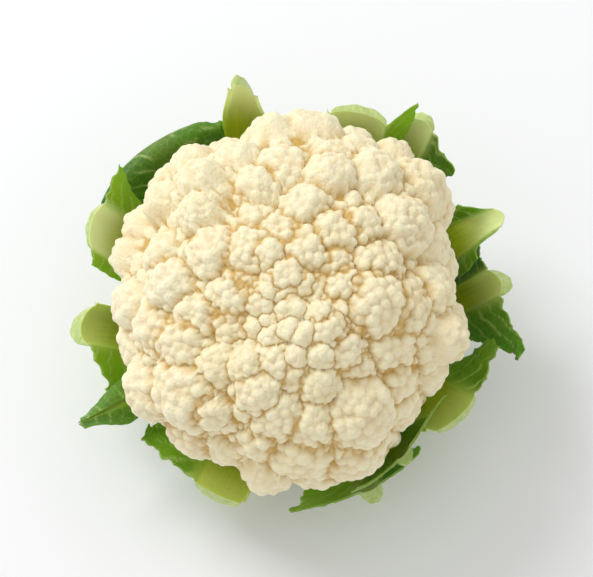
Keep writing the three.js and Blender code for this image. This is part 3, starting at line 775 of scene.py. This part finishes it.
# Leaf: a green blade under a waxy bloom, moulded by its veins, which are paler than what lies
# between them, with a net of finer ones. Thin as it is, the blade glows a little. The midrib is
# smooth, olive in the shade of the head and pale green towards its end.
leaf_skin, tree, shader = new_material(
    "waxy_leaf_skin",
    Roughness=0.42,
    IOR=1.36,
    Subsurface_Weight=0.4,
    Subsurface_Radius=(0.6, 1.0, 0.2),
    Subsurface_Scale=2.5 * MM,
)
GREEN_CLOUD_SIZE = 17 * MM
VEIN_NET_SIZE = 3.2 * MM
place = add_node(tree, "ShaderNodeTexCoord", "Object")
rib, vein, outer, tone, pale, across, length, along = [
    add_node(tree, "ShaderNodeAttribute", "Fac", attribute_name=name)
    for name in ("rib", "vein", "outer", "tone", "pale", "across", "length", "along")
]
cloud = add_node(
    tree, "ShaderNodeTexNoise", "Fac", {"Vector": place, "Scale": 1 / GREEN_CLOUD_SIZE, "Detail": 4.0}
)
net = add_node(
    tree,
    "ShaderNodeTexVoronoi",
    "Distance",
    {"Vector": place, "Scale": 1 / VEIN_NET_SIZE},
    feature="DISTANCE_TO_EDGE",
)
net_line = add_node(
    tree,
    "ShaderNodeMapRange",
    "Result",
    {"Value": net, "From Min": 0.0, "From Max": 0.12, "To Min": 1.0, "To Max": 0.0},
)
dark = add_node(
    tree, "ShaderNodeMix", 2, {0: cloud, 6: linear("#28520a"), 7: linear("#548b12")}, data_type="RGBA"
)
bright = add_node(
    tree, "ShaderNodeMix", 2, {0: cloud, 6: linear("#6ca010"), 7: linear("#a6ca22")}, data_type="RGBA"
)
blade = add_node(tree, "ShaderNodeMix", 2, {0: tone, 6: dark, 7: bright}, data_type="RGBA")
bloom = add_node(tree, "ShaderNodeMath", 0, {0: outer, 1: 0.22}, operation="MULTIPLY")
waxed = add_node(tree, "ShaderNodeMix", 2, {0: bloom, 6: blade, 7: linear("#7d9f6a")}, data_type="RGBA")
net_share = add_node(tree, "ShaderNodeMath", 0, {0: net_line, 1: 0.16}, operation="MULTIPLY")
netted = add_node(
    tree, "ShaderNodeMix", 2, {0: net_share, 6: waxed, 7: linear("#a9bd62")}, data_type="RGBA"
)
vein_share = add_node(tree, "ShaderNodeMath", 0, {0: vein, 1: 0.75}, operation="MULTIPLY")
veined = add_node(
    tree, "ShaderNodeMix", 2, {0: vein_share, 6: netted, 7: linear("#c3d684")}, data_type="RGBA"
)

# Fibres run along the midrib in streaks. The attributes that they read are in millimetres.
FIBRE_SPACING = 1.4
FIBRE_LENGTH = 26
across_fibres = add_node(
    tree, "ShaderNodeMath", 0, {0: across, 1: 1 / FIBRE_SPACING}, operation="MULTIPLY"
)
along_fibres = add_node(tree, "ShaderNodeMath", 0, {0: length, 1: 1 / FIBRE_LENGTH}, operation="MULTIPLY")
fibre_place = add_node(tree, "ShaderNodeCombineXYZ", "Vector", {"X": across_fibres, "Y": along_fibres})
fibre = add_node(tree, "ShaderNodeTexNoise", "Fac", {"Vector": fibre_place, "Scale": 1.0, "Detail": 2.0})
near_cut = add_node(
    tree,
    "ShaderNodeMapRange",
    "Result",
    {"Value": along, "From Min": 0.7, "From Max": 1.0},
    interpolation_type="SMOOTHSTEP",
)
shaded_rib = add_node(
    tree, "ShaderNodeMix", 2, {0: fibre, 6: linear("#7a9204"), 7: linear("#b0c41c")}, data_type="RGBA"
)
rib_end = add_node(
    tree, "ShaderNodeMix", 2, {0: pale, 6: linear("#b9cd2e"), 7: linear("#e2edae")}, data_type="RGBA"
)
inner_rib = add_node(tree, "ShaderNodeMix", 2, {0: near_cut, 6: shaded_rib, 7: rib_end}, data_type="RGBA")
rib_bloom = add_node(tree, "ShaderNodeMath", 0, {0: outer, 1: 0.6}, operation="MULTIPLY")
midrib = add_node(
    tree, "ShaderNodeMix", 2, {0: rib_bloom, 6: inner_rib, 7: linear("#cfdc9c")}, data_type="RGBA"
)
leaf_colour = add_node(tree, "ShaderNodeMix", 2, {0: rib, 6: veined, 7: midrib}, data_type="RGBA")
tree.links.new(leaf_colour, shader.inputs["Base Color"])
bump = add_node(
    tree, "ShaderNodeBump", "Normal", {"Height": net_line, "Strength": 0.25, "Distance": 0.3 * MM}
)
tree.links.new(bump, shader.inputs["Normal"])

# Cut leaf: wet pale flesh where the knife or a tear went through, with darker dots where the
# bundles of fibres end.
leaf_flesh, tree, shader = new_material(
    "cut_leaf_flesh",
    Roughness=0.35,
    IOR=1.38,
    Subsurface_Weight=0.3,
    Subsurface_Radius=(0.8, 1.0, 0.4),
    Subsurface_Scale=2 * MM,
)
DOT_SPACING = 2.2 * MM
MOIST_CLOUD_SIZE = 2.4 * MM
place = add_node(tree, "ShaderNodeTexCoord", "Object")
rib = add_node(tree, "ShaderNodeAttribute", "Fac", attribute_name="rib")
off_dot = add_node(tree, "ShaderNodeTexVoronoi", "Distance", {"Vector": place, "Scale": 1 / DOT_SPACING})
dot = add_node(
    tree,
    "ShaderNodeMapRange",
    "Result",
    {"Value": off_dot, "From Min": 0.1, "From Max": 0.26, "To Min": 0.35, "To Max": 0.0},
)
cloud = add_node(
    tree, "ShaderNodeTexNoise", "Fac", {"Vector": place, "Scale": 1 / MOIST_CLOUD_SIZE, "Detail": 3.0}
)
moist = add_node(
    tree, "ShaderNodeMix", 2, {0: cloud, 6: linear("#98b546"), 7: linear("#dbe6ae")}, data_type="RGBA"
)
flesh = add_node(tree, "ShaderNodeMix", 2, {0: dot, 6: moist, 7: linear("#7f9640")}, data_type="RGBA")
torn_edge = add_node(tree, "ShaderNodeMix", 2, {0: rib, 6: linear("#7fa03c"), 7: flesh}, data_type="RGBA")
tree.links.new(torn_edge, shader.inputs["Base Color"])

for k, leaf in enumerate(LEAVES):
    name = f"leaf_{k + 1:02d}"
    points, quads, cut_faces, attributes = leaf_surface(k, leaf)
    blade_piece = mesh_object(
        name + "_blade", points, quads, cut_faces, [leaf_skin, leaf_flesh], **attributes
    )
    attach(blade_piece, "root")
    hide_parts(name)

# The stalk
# The short thick stem, which a knife has cut flat. A thin pale green rind holds a white pith, and a
# ring of fibre bundles runs up between them.

STALK_TOP_RADIUS = 24
STALK_FLARE_HEIGHT = 1.7
STALK_SHOULDER = 0.5
STALK_BEVEL = 1
STALK_SIDES = 192
STALK_RINGS = 90
CUT_RINGS = 24
BEVEL_RINGS = 6
POLE_SHARE = 0.02
POLE_RADIUS = 0.02
RIND_START = 2
RIND_FADE = 3
RIB_HEIGHT = 0.22
RIB_COUNT = 26
RIB_WANDER_HEIGHT = 6
SCAR_HEIGHT = 0.35
SCAR_STEEPNESS = 1.1
SCAR_STARTS = 3
SCAR_SHARPNESS = 8
OFF_THE_CUT = 2


def stalk_surface():
    """A profile turned round the axis: out over the cut, up the rind, over the flare and in again
    under the curd. The rind has low ribs, a cosine round it, and lies in folds where the leaves
    grew, a cosine of height that climbs round it. Returns points, quads and the two caps at the
    poles, and how far out each point of the cut is, as a share."""
    top = SEAT_HEIGHT - JOIN_GAP
    flare = top - STALK_FLARE_HEIGHT
    cut_radius = STALK_RADIUS - STALK_BEVEL
    over_cut = np.linspace(POLE_SHARE, 1, CUT_RINGS) * cut_radius
    bevel = np.linspace(0, math.pi / 2, BEVEL_RINGS)[1:]
    up_rind = np.linspace(RIND_START, flare, STALK_RINGS)
    profile = np.concatenate(
        [
            np.column_stack([over_cut, np.zeros(CUT_RINGS)]),
            np.column_stack([cut_radius + STALK_BEVEL * np.sin(bevel), STALK_BEVEL * (1 - np.cos(bevel))]),
            np.column_stack([np.full(STALK_RINGS, STALK_RADIUS), up_rind]),
            [[STALK_TOP_RADIUS, top - STALK_SHOULDER], [STALK_TOP_RADIUS, top], [POLE_RADIUS, top]],
        ]
    )
    radius, height = profile[:, :1], profile[:, 1:]
    around = np.arange(STALK_SIDES) * 2 * math.pi / STALK_SIDES
    on_rind = smooth((height - RIND_START) / RIND_FADE) * smooth((flare - height) / RIND_FADE)
    ribs = RIB_HEIGHT * np.cos(around * RIB_COUNT + np.sin(height / RIB_WANDER_HEIGHT))
    folds = SCAR_HEIGHT * np.cos(height * SCAR_STEEPNESS + around * SCAR_STARTS) ** SCAR_SHARPNESS
    out = radius - on_rind * (RIB_HEIGHT + SCAR_HEIGHT - ribs - folds)
    up = height + np.zeros(STALK_SIDES)
    points = np.stack([out * np.cos(around), out * np.sin(around), up], -1).reshape(-1, 3)
    lower = np.arange(len(profile) - 1)[:, None] * STALK_SIDES
    upper = lower + STALK_SIDES
    here = np.arange(STALK_SIDES)
    after = (here + 1) % STALK_SIDES
    quads = np.stack([lower + here, lower + after, upper + after, upper + here], -1).reshape(-1, 4)
    caps = [here[::-1].tolist(), (upper[-1] + here).tolist()]
    cut = np.where(up < RIND_START, radius / STALK_RADIUS, OFF_THE_CUT)
    return points, quads.tolist() + caps, cut.ravel()


# Stalk: a waxy pale green rind over wet white pith. On the cut, the fibre bundles show as a ring of
# greener strokes just inside the rind.
stalk_rind, tree, shader = new_material(
    "pale_stalk_rind_and_pith",
    Roughness=0.45,
    IOR=1.38,
    Subsurface_Weight=0.25,
    Subsurface_Radius=(0.9, 1.0, 0.6),
    Subsurface_Scale=1.5 * MM,
)
PITH_CLOUD_SIZE = 11 * MM
BUNDLE_SPACING = 2.0 * MM
# Where the ring of bundles and the rind begin and are full, as shares of the stalk's radius.
RING_EDGE = (0.7, 0.76)
RIND_EDGE = (0.88, 0.93)
place = add_node(tree, "ShaderNodeTexCoord", "Object")
cut = add_node(tree, "ShaderNodeAttribute", "Fac", attribute_name="cut")
cloud = add_node(
    tree, "ShaderNodeTexNoise", "Fac", {"Vector": place, "Scale": 1 / PITH_CLOUD_SIZE, "Detail": 4.0}
)
rind = add_node(
    tree, "ShaderNodeMix", 2, {0: cloud, 6: linear("#b3c274"), 7: linear("#dfe6ba")}, data_type="RGBA"
)
pith = add_node(
    tree, "ShaderNodeMix", 2, {0: cloud, 6: linear("#eceed2"), 7: linear("#f8f8e8")}, data_type="RGBA"
)
bundle = add_node(tree, "ShaderNodeTexVoronoi", "Distance", {"Vector": place, "Scale": 1 / BUNDLE_SPACING})
stroke = add_node(
    tree,
    "ShaderNodeMapRange",
    "Result",
    {"Value": bundle, "From Min": 0.2, "From Max": 0.4, "To Min": 0.8, "To Max": 0.0},
)
ring_start, rind_start = [
    add_node(
        tree,
        "ShaderNodeMapRange",
        "Result",
        {"Value": cut, "From Min": start, "From Max": end},
        interpolation_type="SMOOTHSTEP",
    )
    for start, end in (RING_EDGE, RIND_EDGE)
]
ringed = add_node(tree, "ShaderNodeMath", 0, {0: stroke, 1: ring_start}, operation="MULTIPLY")
cut_face = add_node(tree, "ShaderNodeMix", 2, {0: ringed, 6: pith, 7: linear("#a9bf6c")}, data_type="RGBA")
stalk_colour = add_node(tree, "ShaderNodeMix", 2, {0: rind_start, 6: cut_face, 7: rind}, data_type="RGBA")
tree.links.new(stalk_colour, shader.inputs["Base Color"])

stalk_points, stalk_faces, stalk_cut = stalk_surface()
stalk = mesh_object("stalk_turned", stalk_points, stalk_faces, [], [stalk_rind], cut=stalk_cut)
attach(stalk, "root")
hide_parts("stalk")

# The studio
# A plain pale floor under a pale sky, and one large soft lamp behind the head's left shoulder, high
# up, which throws the shadow towards the viewer's right. Its lengths are in metres.
FLOOR_EDGE = 3.0
floor_corners = [(-FLOOR_EDGE, -FLOOR_EDGE, 0), (FLOOR_EDGE, -FLOOR_EDGE, 0)]
floor_corners += [(FLOOR_EDGE, FLOOR_EDGE, 0), (-FLOOR_EDGE, FLOOR_EDGE, 0)]
floor_mesh = bpy.data.meshes.new("floor")
floor_mesh.from_pydata(floor_corners, [], [(0, 1, 2, 3)])
floor = bpy.data.objects.new("floor", floor_mesh)
bpy.context.scene.collection.objects.link(floor)
# Paper: pale, matt and even.
paper = new_material("pale_paper_floor", Base_Color=linear("#f6f8fd"), Roughness=0.8)[0]
floor_mesh.materials.append(paper)

LAMP_SIZE = 1.1
LAMP_ENERGY = 30
LAMP_PLACE = Vector((-1.3, 1.15, 1.8))
LAMP_TARGET = Vector((0, 0, 0.08))
lamp_light = bpy.data.lights.new("soft_lamp", "AREA")
lamp_light.size = LAMP_SIZE
lamp_light.energy = LAMP_ENERGY
lamp = bpy.data.objects.new("soft_lamp", lamp_light)
lamp.location = LAMP_PLACE
lamp.rotation_euler = (LAMP_TARGET - LAMP_PLACE).to_track_quat("-Z", "Y").to_euler()
bpy.context.scene.collection.objects.link(lamp)

SKY_STRENGTH = 0.72
sky = bpy.data.worlds.new("pale_sky")
sky.use_nodes = True
sky_light = sky.node_tree.nodes["Background"]
sky_light.inputs["Color"].default_value = linear("#fffdf8")
sky_light.inputs["Strength"].default_value = SKY_STRENGTH
bpy.context.scene.world = sky
bpy.context.scene.view_settings.view_transform = "Standard"

CAMERA_ELEVATION = math.radians(66)
CAMERA_DISTANCE = 0.9
CAMERA_TARGET = Vector((0, 0, 0.0745))
CAMERA_LENS = 125
camera_data = bpy.data.cameras.new("camera")
camera_data.lens = CAMERA_LENS
camera = bpy.data.objects.new("camera", camera_data)
outlook = Vector((0, -math.cos(CAMERA_ELEVATION), math.sin(CAMERA_ELEVATION)))
camera.location = CAMERA_TARGET + outlook * CAMERA_DISTANCE
camera.rotation_euler = (-outlook).to_track_quat("-Z", "Y").to_euler()
bpy.context.scene.collection.objects.link(camera)
bpy.context.scene.camera = camera
